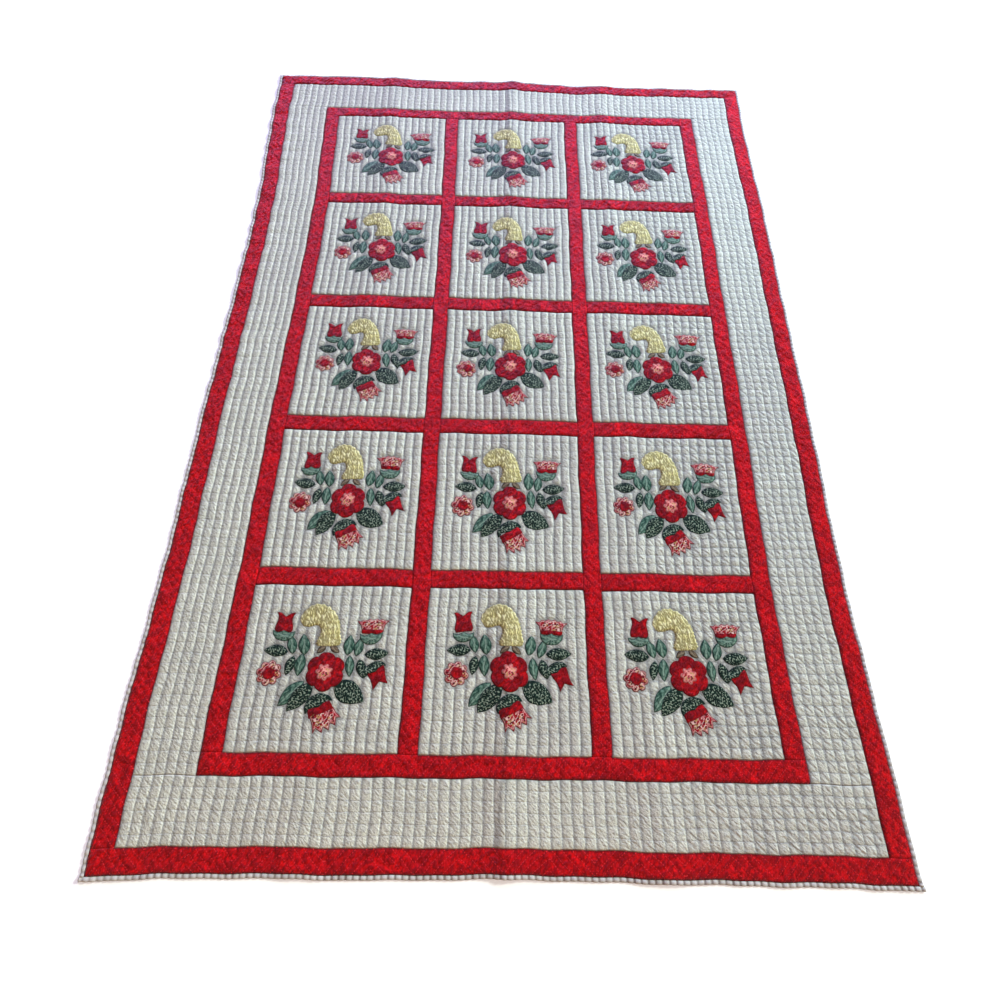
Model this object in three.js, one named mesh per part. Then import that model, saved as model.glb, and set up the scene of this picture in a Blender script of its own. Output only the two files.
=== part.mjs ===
// Applique quilt lying flat: fifteen blocks, sashes, frame, quilted border, band and binding.
// Millimetres, +Z up, head end towards +Y, underside on z = 0.
import * as THREE from "three";

// Driving sizes
const CELL = 22; // pitch of the square quilting grid
const BLOCK = 16 * CELL; // side of one block
const SASH = 42; // red strips between the blocks
const FRAME = 44; // red frame around all blocks
const BORDER = 124; // white quilted border
const BAND = 45; // outer red band
const BINDING = 9; // white edge binding
const COLUMNS = 3;
const ROWS = 5;
const GAP = 0.3; // between two neighbouring pieces
const THICK = 2.2; // along seams and quilting lines
const PUFF = 2.0; // rise of a white quilting puff above its lines
const RED_PUFF = 1.4; // rise of a puff in a red strip
const PUFF_PITCH = 2 * CELL; // puffs of the solids, every second quilting line
const STRIP_PITCH = 4 * CELL; // puffs along the narrow red strips
const NARROW = 3; // most puffs across a piece whose underside keeps every cross line

// Half sizes from the centre of the quilt out to each seam
const PITCH = BLOCK + SASH;
const HALF_BLOCKS = { x: (COLUMNS * PITCH - SASH) / 2, y: (ROWS * PITCH - SASH) / 2 };
const grown = (half, by) => ({ x: half.x + by, y: half.y + by });
const HALF_FRAME = grown(HALF_BLOCKS, FRAME);
const HALF_BORDER = grown(HALF_FRAME, BORDER);
const HALF_BAND = grown(HALF_BORDER, BAND);
const HALF_QUILT = grown(HALF_BAND, BINDING);

// How far the long edges lie outside their straight lines, at seams along the length,
// and how far those seams lie towards the head
const SIDES = [
  { at: -1190, left: 18, right: 27, drift: -2 },
  { at: -964, left: 16, right: 16, drift: -2 },
  { at: -570, left: 2, right: -1, drift: -4 },
  { at: -176, left: -4, right: -1, drift: 2 },
  { at: 176, left: -14, right: -5, drift: -2 },
  { at: 570, left: -19, right: -7, drift: -2 },
  { at: 964, left: -4, right: -16, drift: -10 },
  { at: 1190, left: -3, right: -13, drift: -9 },
];

// How far the short edges lie outside theirs, at seams across the width
const ENDS = [
  { at: -795, head: -29, foot: 7 },
  { at: -570, head: -22, foot: 0 },
  { at: -218, head: -29, foot: 0 },
  { at: 0, head: -26, foot: -4 },
  { at: 218, head: -34, foot: 0 },
  { at: 570, head: -31, foot: 4 },
  { at: 795, head: -28, foot: 8 },
];

// Soft ridges left along the length by folding: place, height at three stations, width of each flank
const FOLDS = [
  { x: -394, head: 5, middle: 2.5, foot: 3, left: 66, right: 66 },
  { x: 0, head: 6.5, middle: 4.5, foot: 7, left: 52, right: 88 },
  { x: 306, head: 5, middle: 3, foot: 4, left: 66, right: 66 },
];

// Cross-section of the binding, from its seam outwards
const BINDING_SECTION = [
  { out: 0, up: 0 },
  { out: 0, up: 2.4 },
  { out: 0.35, up: 3.5 },
  { out: 0.8, up: 3.1 },
  { out: 1, up: 1.6 },
  { out: 0.92, up: 0 },
];

// Value of one column of a table at a place between two of its rows
function along(table, column, place) {
  const last = table.length - 1;
  const at = Math.min(Math.max(place, table[0].at), table[last].at);
  let i = 0;
  while (i < last - 1 && table[i + 1].at < at) i++;
  const share = (at - table[i].at) / (table[i + 1].at - table[i].at);
  return THREE.MathUtils.lerp(table[i][column], table[i + 1][column], share);
}

// Where a point of the straight plan lies on the surface
function laid(x, y) {
  const side = along(SIDES, x < 0 ? "left" : "right", y) / HALF_QUILT.x;
  const end = along(ENDS, y < 0 ? "foot" : "head", x);
  const share = Math.max(0, Math.abs(y) - HALF_BLOCKS.y) / (HALF_QUILT.y - HALF_BLOCKS.y);
  return { x: x * (1 + side), y: y + along(SIDES, "drift", y) + Math.sign(y) * end * share };
}

// Height of the underside above the surface
function lift(x, y) {
  let height = 0;
  for (const fold of FOLDS) {
    const off = x - fold.x;
    const reach = Math.abs(off) / (off < 0 ? fold.left : fold.right);
    if (reach >= 1) continue;
    const end = y < 0 ? fold.foot : fold.head;
    const ridge = THREE.MathUtils.lerp(fold.middle, end, Math.abs(y) / HALF_QUILT.y);
    height += ridge * 0.5 * (1 + Math.cos(Math.PI * reach));
  }
  return height;
}

// Collects points and triangles of one closed surface
class Surface {
  constructor() {
    this.points = [];
    this.faces = [];
  }
  point(x, y, height) {
    const place = laid(x, y);
    this.points.push(place.x, place.y, lift(x, y) + height);
    return this.points.length / 3 - 1;
  }
  face(a, b, c, up = true) {
    this.faces.push(...(up ? [a, b, c] : [a, c, b]));
  }
  // Triangles between two rows of points; the second row lies to the left of the first
  ladder(right, left, up = true) {
    let i = 0;
    let j = 0;
    while (i < right.length - 1 || j < left.length - 1) {
      const stepRight = (i + 1) / right.length <= (j + 1) / left.length;
      if (j === left.length - 1 || (stepRight && i < right.length - 1)) {
        this.face(right[i], right[i + 1], left[j], up);
        i++;
      } else {
        this.face(right[i], left[j + 1], left[j], up);
        j++;
      }
    }
  }
  geometry() {
    const made = new THREE.BufferGeometry();
    made.setAttribute("position", new THREE.Float32BufferAttribute(this.points, 3));
    made.setIndex(this.faces);
    made.computeVertexNormals();
    return made;
  }
}

// Even stations from a to b, with the places in stops among them
function stations(a, b, step, stops = []) {
  const inside = stops.filter((s) => s > a + step / 4 && s < b - step / 4);
  const ends = [a, ...inside.sort((p, q) => p - q), b];
  const out = [a];
  for (let k = 1; k < ends.length; k++) {
    const parts = Math.max(1, Math.round((ends[k] - ends[k - 1]) / step));
    for (let p = 1; p <= parts; p++) out.push(ends[k - 1] + ((ends[k] - ends[k - 1]) * p) / parts);
  }
  return out;
}

// Places at which every long strip has a station: the bends of both edge tables, and the folds
const lengthStops = SIDES.slice(1, -1).map((row) => row.at);
const widthStops = [
  ...ENDS.slice(1, -1).map((row) => row.at),
  ...FOLDS.flatMap((f) => [f.x - PUFF_PITCH, f.x, f.x + PUFF_PITCH]),
].filter((place, k, all) => all.indexOf(place) === k);

// Closed quilted piece over stations xs and ys, with one puff in each cell
function quiltedPiece(xs, ys, puff) {
  const surface = new Surface();
  const top = xs.map((x) => ys.map((y) => surface.point(x, y, THICK)));
  for (let i = 0; i < xs.length - 1; i++)
    for (let j = 0; j < ys.length - 1; j++) {
      const middle = surface.point((xs[i] + xs[i + 1]) / 2, (ys[j] + ys[j + 1]) / 2, THICK + puff);
      const ring = [top[i][j], top[i + 1][j], top[i + 1][j + 1], top[i][j + 1]];
      ring.forEach((a, k) => surface.face(a, ring[(k + 1) % 4], middle));
    }
  addUnderside(surface, xs, ys, top, xs.length - 1 <= NARROW);
  return surface.geometry();
}

// Underside and walls below the rim of a quilted piece
function addUnderside(surface, xs, ys, top, narrow) {
  const m = xs.length - 1;
  const n = ys.length - 1;
  const lines = xs.map((x, i) => {
    const kept = narrow || i === 0 || i === m ? ys : [ys[0], ys[n]];
    return kept.map((y) => surface.point(x, y, 0));
  });
  for (let i = 0; i < m; i++) surface.ladder(lines[i + 1], lines[i], false);
  const wall = (upper, lower) => surface.ladder(lower, upper);
  const foot = lines.map((line) => line[0]);
  const head = lines.map((line) => line[line.length - 1]);
  wall(top.map((column) => column[0]), foot);
  wall(top[m], lines[m]);
  wall(top.map((column) => column[n]).reverse(), head.reverse());
  wall([...top[0]].reverse(), [...lines[0]].reverse());
}

// Closed binding strip along one edge; side is -1 or 1, lengthwise runs along +Y
function bindingPiece(stops, seam, side, lengthwise) {
  const surface = new Surface();
  const rings = stops.map((s) =>
    BINDING_SECTION.map(({ out, up }) => {
      const across = side * (seam + GAP / 2 + out * (BINDING - GAP / 2));
      return lengthwise ? surface.point(across, s, up) : surface.point(s, across, up);
    }),
  );
  const up = lengthwise !== (side > 0);
  const count = BINDING_SECTION.length;
  for (let k = 0; k < rings.length - 1; k++)
    for (let c = 0; c < count; c++) {
      const d = (c + 1) % count;
      surface.face(rings[k][c], rings[k][d], rings[k + 1][d], !up);
      surface.face(rings[k][c], rings[k + 1][d], rings[k + 1][c], !up);
    }
  const cap = (ring, out) => {
    for (let c = 1; c < count - 1; c++) surface.face(ring[0], ring[c], ring[c + 1], out);
  };
  cap(rings[0], up);
  cap(rings[rings.length - 1], !up);
  return surface.geometry();
}

const white = new THREE.MeshStandardMaterial({ color: 0xd9ddd8, roughness: 0.95 });
const red = new THREE.MeshStandardMaterial({ color: 0xb3141c, roughness: 0.95 });
const quilt = new THREE.Group();

function sew(name, geometry, material) {
  const mesh = new THREE.Mesh(geometry, material);
  mesh.name = name;
  quilt.add(mesh);
}

// A strip between given seams, with half a gap on each side
function strip(name, x0, x1, y0, y1, material, stepX, stepY, puff) {
  const half = GAP / 2;
  const xs = stations(x0 + half, x1 - half, stepX, x1 - x0 > STRIP_PITCH * 2 ? widthStops : []);
  const ys = stations(y0 + half, y1 - half, stepY, y1 - y0 > STRIP_PITCH * 2 ? lengthStops : []);
  sew(name, quiltedPiece(xs, ys, puff), material);
}

// Blocks, row 1 at the head, and the short sashes below them
for (let r = 0; r < ROWS; r++)
  for (let c = 0; c < COLUMNS; c++) {
    const x0 = c * PITCH - HALF_BLOCKS.x;
    const x1 = x0 + BLOCK;
    const y1 = HALF_BLOCKS.y - r * PITCH;
    const y0 = y1 - BLOCK;
    const name = `r${r + 1}_c${c + 1}`;
    strip(`block_${name}`, x0, x1, y0, y1, white, PUFF_PITCH, PUFF_PITCH, PUFF);
    if (r < ROWS - 1)
      strip(`sash_${name}`, x0, x1, y0 - SASH, y0, red, STRIP_PITCH, SASH, RED_PUFF);
  }

// Long sashes between the columns
for (const [name, x] of [["sash_left", -PITCH / 2], ["sash_right", PITCH / 2]]) {
  const half = SASH / 2;
  strip(name, x - half, x + half, -HALF_BLOCKS.y, HALF_BLOCKS.y, red, SASH, STRIP_PITCH, RED_PUFF);
}

// Rings of four strips: the long sides stop at the ends, which run across the full width
function ringOf(label, inner, outer, material, wide, step, puff) {
  strip(`${label}_left`, -outer.x, -inner.x, -inner.y, inner.y, material, wide, step, puff);
  strip(`${label}_right`, inner.x, outer.x, -inner.y, inner.y, material, wide, step, puff);
  strip(`${label}_foot`, -outer.x, outer.x, -outer.y, -inner.y, material, step, wide, puff);
  strip(`${label}_head`, -outer.x, outer.x, inner.y, outer.y, material, step, wide, puff);
}
ringOf("frame", HALF_BLOCKS, HALF_FRAME, red, FRAME, STRIP_PITCH, RED_PUFF);
ringOf("border", HALF_FRAME, HALF_BORDER, white, BORDER / 3, PUFF_PITCH, PUFF);
ringOf("band", HALF_BORDER, HALF_BAND, red, BAND, STRIP_PITCH, RED_PUFF);

// Binding: the long sides stop at the band's ends, the short ones run across the full width
const longStops = stations(-HALF_BAND.y + GAP / 2, HALF_BAND.y - GAP / 2, STRIP_PITCH, lengthStops);
const shortStops = stations(-HALF_QUILT.x, HALF_QUILT.x, STRIP_PITCH, widthStops);
sew("binding_left", bindingPiece(longStops, HALF_BAND.x, -1, true), white);
sew("binding_right", bindingPiece(longStops, HALF_BAND.x, 1, true), white);
sew("binding_foot", bindingPiece(shortStops, HALF_BAND.y, -1, false), white);
sew("binding_head", bindingPiece(shortStops, HALF_BAND.y, 1, false), white);

// The origin is the middle of the outline on the surface
const middle = new THREE.Box3().setFromObject(quilt).getCenter(new THREE.Vector3());
quilt.position.set(-middle.x, -middle.y, 0);

export default quilt;
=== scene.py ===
import math
from collections import namedtuple

import bpy
import numpy as np
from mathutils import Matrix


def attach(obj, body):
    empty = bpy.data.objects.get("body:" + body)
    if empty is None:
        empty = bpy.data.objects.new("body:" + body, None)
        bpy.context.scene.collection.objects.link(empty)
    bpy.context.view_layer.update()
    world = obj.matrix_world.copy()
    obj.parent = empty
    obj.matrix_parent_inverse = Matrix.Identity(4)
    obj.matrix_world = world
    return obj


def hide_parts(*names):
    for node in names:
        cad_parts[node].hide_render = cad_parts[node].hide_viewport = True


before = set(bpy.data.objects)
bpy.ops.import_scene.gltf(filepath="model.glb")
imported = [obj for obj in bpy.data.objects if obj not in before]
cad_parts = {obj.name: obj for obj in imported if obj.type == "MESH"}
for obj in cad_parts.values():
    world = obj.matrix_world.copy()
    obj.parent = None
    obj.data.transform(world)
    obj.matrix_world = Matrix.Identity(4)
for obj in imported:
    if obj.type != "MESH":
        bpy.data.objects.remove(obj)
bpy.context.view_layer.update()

# Sizes as cut and sewn, in metres
CELL = 0.022  # pitch of the quilting grid
CELLS = 16  # quilting cells along one side of a block
BLOCK = CELLS * CELL
SASH = 0.042
FRAME = 0.044
BORDER = 0.124
BAND = 0.045
BINDING = 0.009
BINDING_CUT = 0.012  # width of the binding's strip, opened out
COLUMNS, ROWS = 3, 5
PITCH = BLOCK + SASH
SLIT = 0.0001  # half of the slit at a seam
JOINT = 0.00002  # half of the slit where strips of one cloth meet
THICK = 0.0022  # at seams and quilting lines
PUFF = 0.0027  # rise of a white puff above its lines
RED_PUFF = 0.0017  # rise of the red ribs
RED_SWELL = 0.0017  # rise of a red strip above its seams
RED_BANK = 0.006  # width of the rounded bank along a seam
RIB = 0.0135  # pitch of the slanting lines in the red strips
MM = 0.001

# Half sizes from the middle of the quilt out to each seam
HALF_BLOCKS = np.array([COLUMNS * PITCH - SASH, ROWS * PITCH - SASH]) / 2
HALF_FRAME = HALF_BLOCKS + FRAME
HALF_BORDER = HALF_FRAME + BORDER
HALF_BAND = HALF_BORDER + BAND
HALF_QUILT = HALF_BAND + BINDING
OUTLINE_SHIFT = np.array([-0.0044204, 0.0204829])  # puts the outline's middle at the origin

# How far the long edges lie outside straight lines and the seams towards the head, in mm:
# place, left, right, seam
SIDES = np.array([
    (-1190, 18, 27, -2), (-964, 16, 16, -2), (-570, 2, -1, -4), (-176, -4, -1, 2),
    (176, -14, -5, -2), (570, -19, -7, -2), (964, -4, -16, -10), (1190, -3, -13, -9),
]) * MM

# How far the short edges lie outside theirs, in mm: place, head, foot
ENDS = np.array([
    (-795, -29, 7), (-570, -22, 0), (-218, -29, 0), (0, -26, -4),
    (218, -34, 0), (570, -31, 4), (795, -28, 8),
]) * MM

# Ridges left by folding, in mm: place, height at head, middle and foot, left and right flank
FOLDS = np.array([
    (-394, 5, 2.5, 3, 66, 66),
    (0, 6.5, 4.5, 7, 52, 88),
    (306, 5, 3, 4, 66, 66),
]) * MM
CREST = 1.5  # above 1, so that the flanks of a ridge sag below its crest

# Painted shade along the crease that folding in half left: places along the quilt in m, how far it strays
# in mm, width
FOLD_LINE = np.array([(-1.10, -14), (-0.95, 0), (0.65, 0), (0.93, -12)])
FOLD_WIDTH = 4 * MM

# Sways of the long and of the short seams: reach in mm, wavelength in m, turns for each m sideways
LONG_SWAYS = ((0.9, 0.23, 0.7), (0.6, 0.094, 1.3))
SHORT_SWAYS = ((0.9, 0.21, 0.6), (0.6, 0.087, 1.1))


def smooth(low, high, value):
    """Soft step from 0 at low to 1 at high."""
    t = np.clip((value - low) / (high - low), 0, 1)
    return t * t * (3 - 2 * t)


def curved(t, a, b, leave, arrive):
    """Curve from a to b, for t from 0 to 1, with its slopes at both ends."""
    start = (1 + 2 * t) * (1 - t) ** 2 * a + t * (1 - t) ** 2 * leave
    return start + t * t * (3 - 2 * t) * b + t * t * (t - 1) * arrive


def eased(table, column, place):
    """Smooth curve through one column of a table."""
    at, values = table[:, 0], table[:, column]
    slopes = np.gradient(values, at)
    i = np.clip(np.searchsorted(at, place) - 1, 0, len(at) - 2)
    step = at[i + 1] - at[i]
    t = np.clip((place - at[i]) / step, 0, 1)
    return curved(t, values[i], values[i + 1], step * slopes[i], step * slopes[i + 1])


def wave(phase):
    """Sine wave of a phase in whole turns."""
    return np.sin(2 * math.pi * phase)


def sway(waves, along, sideways):
    """How far a seam strays to its side."""
    return sum(reach * MM * wave(along / length + turns * sideways) for reach, length, turns in waves)


def laid(x, y):
    """Where a point of the straight plan lies on the floor."""
    side = np.where(x < 0, eased(SIDES, 1, y), eased(SIDES, 2, y)) / HALF_QUILT[0]
    end = np.where(y < 0, eased(ENDS, 2, x), eased(ENDS, 1, x))
    share = np.maximum(0, np.abs(y) - HALF_BLOCKS[1]) / (HALF_QUILT[1] - HALF_BLOCKS[1])
    across = x * (1 + side) + sway(LONG_SWAYS, y, x)
    along = y + eased(SIDES, 3, y) + np.sign(y) * end * share + sway(SHORT_SWAYS, x, y)
    return across + OUTLINE_SHIFT[0], along + OUTLINE_SHIFT[1]


def edge_ripple(x, y):
    """Small waves of the outer strips, higher towards the edges and highest at the left by the head."""
    out_x = smooth(HALF_FRAME[0], HALF_QUILT[0], np.abs(x))
    out_y = smooth(HALF_FRAME[1], HALF_QUILT[1], np.abs(y))
    rise_x = np.where(x < 0, 1.1 + 1.7 * smooth(-0.5, 0.2, y), 0.9) * MM
    along_y = 0.5 + 0.5 * wave(y / 0.066 + 0.35 * wave(y / 0.41))
    along_x = 0.5 + 0.5 * wave(x / 0.074 + 0.3 * wave(x / 0.37))
    return rise_x * out_x * along_y + 1.0 * MM * out_y * along_x


def lift(x, y):
    """Height of the underside above the floor."""
    height = edge_ripple(x, y)
    for place, head, middle, foot, left, right in FOLDS:
        off = x - place
        reach = np.clip(np.abs(off) / np.where(off < 0, left, right), 0, 1)
        ridge = middle + (np.where(y < 0, foot, head) - middle) * np.abs(y) / HALF_QUILT[1]
        height = height + ridge * (1 - reach) ** CREST
    return height


def in_space(x, y, height):
    """Points of the plan at a height above the underside, in the shared frame."""
    return np.stack([*laid(x, y), lift(x, y) + height], -1)


def linked(name, data):
    """Object at the origin, in the scene."""
    made = bpy.data.objects.new(name, data)
    bpy.context.scene.collection.objects.link(made)
    return made


def new_piece(name, points, faces, cut=None, values=None, rounded=None):
    """Mesh object at the origin, with its cutting plan as UV map and its values as attributes;
    only the faces before the rounded count are shaded soft."""
    mesh = bpy.data.meshes.new(name)
    mesh.from_pydata(np.asarray(points).tolist(), [], faces)
    mesh.update()
    if cut is not None:
        corner = np.empty(len(mesh.loops), np.int32)
        mesh.loops.foreach_get("vertex_index", corner)
        plan = mesh.uv_layers.new(name="cut")
        plan.data.foreach_set("uv", np.asarray(cut, np.float32)[corner].ravel())
    for label, value in (values or {}).items():
        layer = mesh.attributes.new(label, "FLOAT", "POINT")
        layer.data.foreach_set("value", np.asarray(value, np.float32))
    soft = np.arange(len(faces)) < (len(faces) if rounded is None else rounded)
    mesh.polygons.foreach_set("use_smooth", soft)
    return linked(name, mesh)


def grid_faces(number):
    """Faces between the rows of a grid of point numbers."""
    corners = [number[:-1, :-1], number[:-1, 1:], number[1:, 1:], number[1:, :-1]]
    return np.stack(corners, -1).reshape(-1, 4).tolist()


def ladder(right, left):
    """Triangles between two rows of point numbers that face down, left of the first row."""
    faces, i, j = [], 0, 0
    while i < len(right) - 1 or j < len(left) - 1:
        step_right = (i + 1) * len(left) <= (j + 1) * len(right)
        if j == len(left) - 1 or (step_right and i < len(right) - 1):
            faces.append((right[i], left[j], right[i + 1]))
            i += 1
        else:
            faces.append((right[i], left[j], left[j + 1]))
            j += 1
    return faces


UNDERSIDE_STEP = 8  # stations of the top to one of the underside


def sewn_sheet(name, xs, ys, height, cut, values, drift=0.0):
    """Closed sheet over stations xs and ys, with its relief on top and a plain underside;
    its top points drift a little across, as hand-sewn lines do."""
    m, n = len(xs) - 1, len(ys) - 1
    x, y = np.meshgrid(xs, ys, indexing="ij")
    number = np.arange(x.size).reshape(x.shape)
    faces = grid_faces(number.T)
    kept = sorted({*range(0, n, UNDERSIDE_STEP), n})
    lines, count = [], x.size
    for i in range(m + 1):
        rows = range(n + 1) if i in (0, m) else kept
        lines.append([(i, j, count + k) for k, j in enumerate(rows)])
        count += len(rows)
    at = np.array([(i, j) for line in lines for i, j, _ in line])
    under = [[point for _, _, point in line] for line in lines]
    for i in range(m):
        faces += ladder(under[i + 1], under[i])
    rounded = len(faces)
    rims = [
        (number[:, 0], [line[0] for line in under]),
        (number[m], under[m]),
        (number[::-1, n], [line[-1] for line in under[::-1]]),
        (number[0, ::-1], under[0][::-1]),
    ]
    for upper, lower in rims:
        upper = upper.tolist()
        for k in range(len(upper) - 1):
            faces.append((lower[k], lower[k + 1], upper[k + 1], upper[k]))
    top = in_space(x, y, THICK + height)
    top[..., 0] += drift
    bottom = in_space(xs[at[:, 0]], ys[at[:, 1]], 0)
    plan = np.concatenate([cut.reshape(-1, 2), cut[at[:, 0], at[:, 1]]])
    carried = {
        label: np.concatenate([value.ravel(), value[at[:, 0], at[:, 1]]])
        for label, value in values.items()
    }
    return new_piece(name, np.concatenate([top.reshape(-1, 3), bottom]), faces, plan, carried, rounded)


def throughout(at):
    """The whole of a rim."""
    return np.ones(np.shape(at), bool)


def at_rows(y):
    """The stretches of an upright rim where a short sash ends."""
    off = np.abs((y + HALF_BLOCKS[1]) % PITCH - BLOCK - SASH / 2)
    return (np.abs(y) < HALF_BLOCKS[1]) & (off < SASH / 2)


def at_columns(x):
    """The stretches of a level rim where a long sash or a side of the frame ends."""
    return (np.abs(np.abs(x) - PITCH / 2) < SASH / 2) | (np.abs(x) > HALF_BLOCKS[0])


def from_seams(xs, ys, joined):
    """Distances of a grid's points from the rims on another cloth and from those on its own cloth."""
    x, y = np.meshgrid(xs, ys, indexing="ij")
    rims = {
        "left": (x - xs[0], y), "right": (xs[-1] - x, y),
        "low": (y - ys[0], x), "high": (ys[-1] - y, x),
    }
    seam, joint = np.ones(x.shape), np.ones(x.shape)
    for rim, (off, along) in rims.items():
        own = joined[rim](along) if rim in joined else np.zeros(x.shape, bool)
        seam = np.minimum(seam, np.where(own, 1, off))
        joint = np.minimum(joint, np.where(own, off, 1))
    return seam, joint


def inside_seams(x0, x1, y0, y1, joined):
    """Limits of a strip inside its seams, which almost close where it meets its own cloth."""
    left, right, low, high = (JOINT if rim in joined else SLIT for rim in ("left", "right", "low", "high"))
    return x0 + left, x1 - right, y0 + low, y1 - high


# Places inside a quilting cell that carry points, across and along the channels
ACROSS = np.array([0, 0.08, 0.25, 0.44, 0.62, 0.79, 0.93])
ALONG = np.array([0, 0.14, 0.5, 0.86])


def cell_stations(limits, shares):
    """Stations in whole quilting cells between limits, their count in cells, and the number of cells."""
    places, counts, done = [], [], 0
    for low, high in zip(limits, limits[1:]):
        cells = round((high - low) / CELL)
        step = (np.arange(cells)[:, None] + shares).ravel()
        places.append(low + (high - low) * step / cells)
        counts.append(done + step)
        done += cells
    return np.append(np.concatenate(places), limits[-1]), np.append(np.concatenate(counts), done), done


def puff(share, crest):
    """Section of a puff across one cell, steepest beside its two lines."""
    return 1 - np.where(share < crest, 1 - share / crest, (share - crest) / (1 - crest)) ** 2


def middle_line(x, y):
    """Share of the painted shade along the crease that folding in half left along the quilt."""
    way = np.interp(y, *FOLD_LINE.T) * MM
    return np.exp(-((x - way) / FOLD_WIDTH) ** 2)


PLAIN_CREST = 0.78  # where a puff is highest, as a share of its cell
CREST_RANGE = (0.70, 0.86)
CREST_ALONG = 0.7  # the same along its channel
FULLNESS = (0.78, 1.15)  # least and most full puffs
PRESSED = 6.5 * MM  # width of the flat cloth around a patch
JOINT_FADE = 14 * MM  # over which the puffs even out beside a joint
DITCH = 1.6 * MM  # width of the shade along a seam
DRIFT = 0.5 * MM  # of the sewn lines to either side
PUCKER = 0.08  # slanting puckers, as a share of a puff


def white_sheet(name, x0, x1, y0, y1, rng, patches=(), joined=()):
    """White cloth, quilted in squares: deep channels along the length, shallow lines across."""
    left, right, low, high = inside_seams(x0, x1, y0, y1, joined)
    corners = [x for x in (-HALF_FRAME[0], HALF_FRAME[0]) if left + CELL < x < right - CELL]
    xs, u, across_cells = cell_stations([left, *corners, right], ACROSS)
    ys, v, along_cells = cell_stations([low, high], ALONG)
    x, y = np.meshgrid(xs, ys, indexing="ij")
    i = np.minimum(u.astype(int), across_cells - 1)
    middles = np.arange(along_cells) + 0.5
    dealt = [rng.uniform(*limits, (across_cells, along_cells)) for limits in (FULLNESS, CREST_RANGE)]
    full, crest = (np.array([np.interp(v, middles, row) for row in rows])[i] for rows in dealt)
    field, joint = from_seams(xs, ys, joined)
    free = smooth(0, JOINT_FADE, joint)
    full, crest = 1 + (full - 1) * free, PLAIN_CREST + (crest - PLAIN_CREST) * free
    channel = puff((u - i)[:, None] + 0 * crest, crest)
    line = puff(v - np.minimum(v.astype(int), along_cells - 1), CREST_ALONG) ** 0.6
    cross = 0.36 + 0.40 * smooth(0.2, 0.55, x)  # the lines across are deeper at the right
    rise = full * channel * (1 - cross * (1 - line[None]))
    pucker = PUCKER * wave(0.85 * u[:, None] + 1.15 * v[None] + 0.4 * wave(x / 0.13 + y / 0.17))
    rise = rise + pucker * channel * free
    clear = np.ones(x.shape)
    for patch in patches:
        clear = np.minimum(clear, smooth(0, PRESSED, -inside_depth(x, y, patch.outline)))
    outside = smooth(0, 0.02, np.maximum(np.abs(x) - HALF_FRAME[0], np.abs(y) - HALF_FRAME[1]))
    # Puffs are fullest about the middle of the quilt's length, and flatter in its border
    plump = (0.85 + 0.6 * smooth(-0.95, -0.1, y) - 0.2 * smooth(0.1, 0.9, y)) * (1 - 0.18 * outside)
    height = PUFF * plump * rise * clear * smooth(-0.6 * MM, 2 * MM, field)
    drift = DRIFT * wave(0.11 * v[None] + 0.37 * i[:, None]) * smooth(0, 20 * MM, field)
    values = {
        # Painted shade in the channels and quilting lines, less around the patches and in the border.
        "dip": (1 - np.clip(rise, 0, 1) * (0.35 + 0.65 * clear)) * (1 - 0.15 * outside),
        # Painted shade along the seams.
        "ditch": np.exp(-field / DITCH),
        "bare": clear,
        # Painted shade along the middle fold.
        "fold": middle_line(x, y),
    }
    cut = np.stack(np.broadcast_arrays(u[:, None], v[None]), -1)
    return sewn_sheet(name, xs, ys, height, cut, values, drift)


RED_STEP = 0.0042  # pitch of the points in the red strips
CHEVRON = 0.085  # from one turn of a chevron to the next
RED_JOINT_FADE = 10 * MM
# RED_DITCH: width of the painted shade along a red strip's seam.
RED_DITCH = 2.2 * MM


def red_sheet(name, x0, x1, y0, y1, rng, joined, chevron=False):
    """Red cloth, quilted in close slanting lines or in chevrons."""
    left, right, low, high = inside_seams(x0, x1, y0, y1, joined)
    xs = np.linspace(left, right, round((x1 - x0) / RED_STEP) + 1)
    ys = np.linspace(low, high, round((y1 - y0) / RED_STEP) + 1)
    x, y = np.meshgrid(xs, ys, indexing="ij")
    slant = np.abs((x / CHEVRON) % 2 - 1) * CHEVRON if chevron else x
    wander = 0.12 * wave(x / 0.16 + y / 0.21) + 0.05 * wave(y / 0.05 - x / 0.07)
    count = (slant + y) / (RIB * math.sqrt(2)) + wander
    run = (slant - y) / (RIB * math.sqrt(2))
    rib = 1 - np.abs(2 * (count % 1) - 1) ** 2
    swell = 1 + 0.6 * wave(x / 0.083 + y / 0.071 + rng.uniform()) * wave(x / 0.31 - y / 0.27)
    field, joint = from_seams(xs, ys, joined)
    bank = 1 - (1 - np.clip(field / RED_BANK, 0, 1)) ** 2
    relief = 0.5 + (rib * swell - 0.5) * smooth(0, RED_JOINT_FADE, joint)
    height = (RED_SWELL + RED_PUFF * relief) * bank
    values = {
        # Painted shade in the valleys between the ribs.
        "dip": 1 - rib,
        # Painted shade along the seams.
        "ditch": np.exp(-field / RED_DITCH),
        # Painted shade on one slant of each chevron, and half of it all over the plain strips.
        "facing": np.where((x / CHEVRON) % 2 < 1, 1, 0) if chevron else 0.5 + 0 * x,
        # Painted shade and deeper lumps on the strips across, more towards the head.
        "grain": smooth(-0.6, 0.5, y) * (x1 - x0 > y1 - y0),
        # Painted shade along the middle fold.
        "fold": middle_line(x, y),
    }
    return sewn_sheet(name, xs, ys, height, np.stack([count, run], -1), values)


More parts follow.
